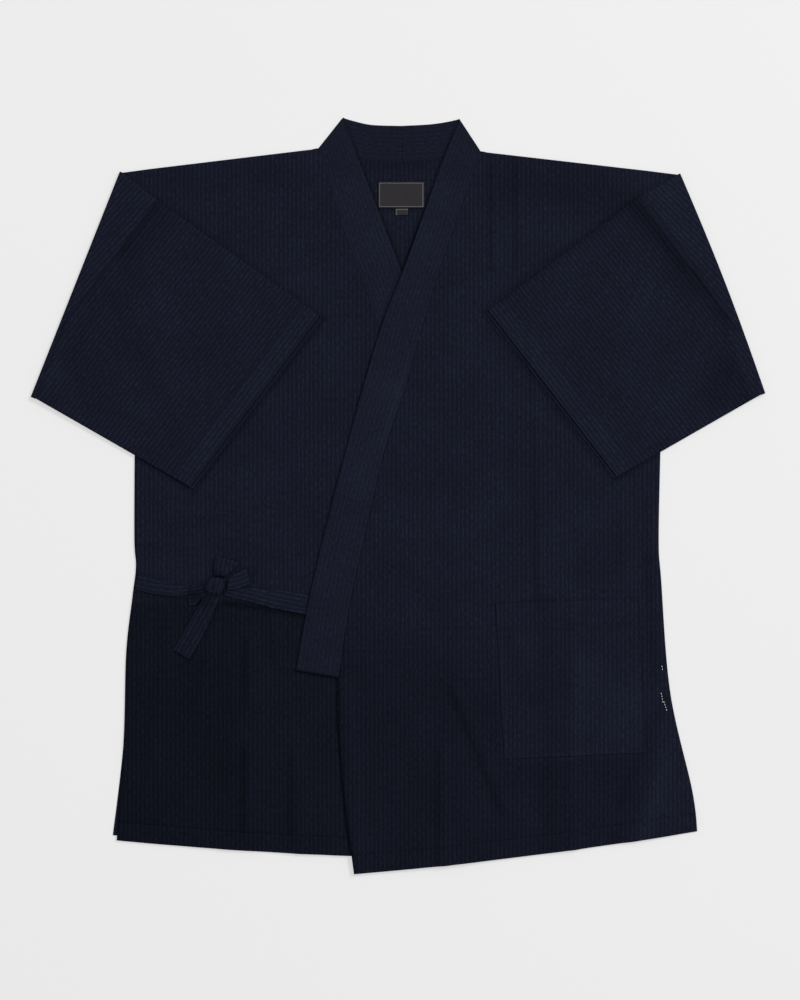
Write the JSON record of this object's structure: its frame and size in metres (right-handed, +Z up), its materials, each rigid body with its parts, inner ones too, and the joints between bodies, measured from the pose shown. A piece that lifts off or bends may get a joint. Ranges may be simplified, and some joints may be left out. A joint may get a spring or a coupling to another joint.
{
  "type": "jinbei jacket laid flat",
  "caption": "Cotton jinbei jacket laid flat on its back, fronts crossed, sleeves folded over the fronts, ties in a side bow, patch pocket on one front.",
  "frame": {"origin": "on the surface, under the middle of the laid garment's bounding box", "axes": "+Z up off the surface, +Y towards the neck, +X towards the wearer's left front, which lies on top"},
  "size_m": [0.866, 0.892, 0.0082],
  "materials": {
    "indigo_cotton": "dark indigo ribbed cotton, matt, crinkled between its stripes",
    "collar_cotton": "the same cotton doubled and pressed, stripes along the band",
    "label_satin": "woven black satin with a pale edge, slight sheen"
  },
  "bodies": {
    "root": {"back": "indigo_cotton", "right_front": "indigo_cotton", "left_front": "indigo_cotton", "right_sleeve": "indigo_cotton", "left_sleeve": "indigo_cotton", "right_collar": "collar_cotton", "left_collar": "collar_cotton", "pocket": "indigo_cotton", "neck_label": "label_satin", "size_tab": "label_satin", "side_tie": "collar_cotton", "front_tie": "collar_cotton", "bow_knot": "collar_cotton", "bow_upper_loop": "collar_cotton", "bow_side_loop": "collar_cotton", "bow_tail": "collar_cotton", "bow_end": "collar_cotton"}
  },
  "joints": []
}
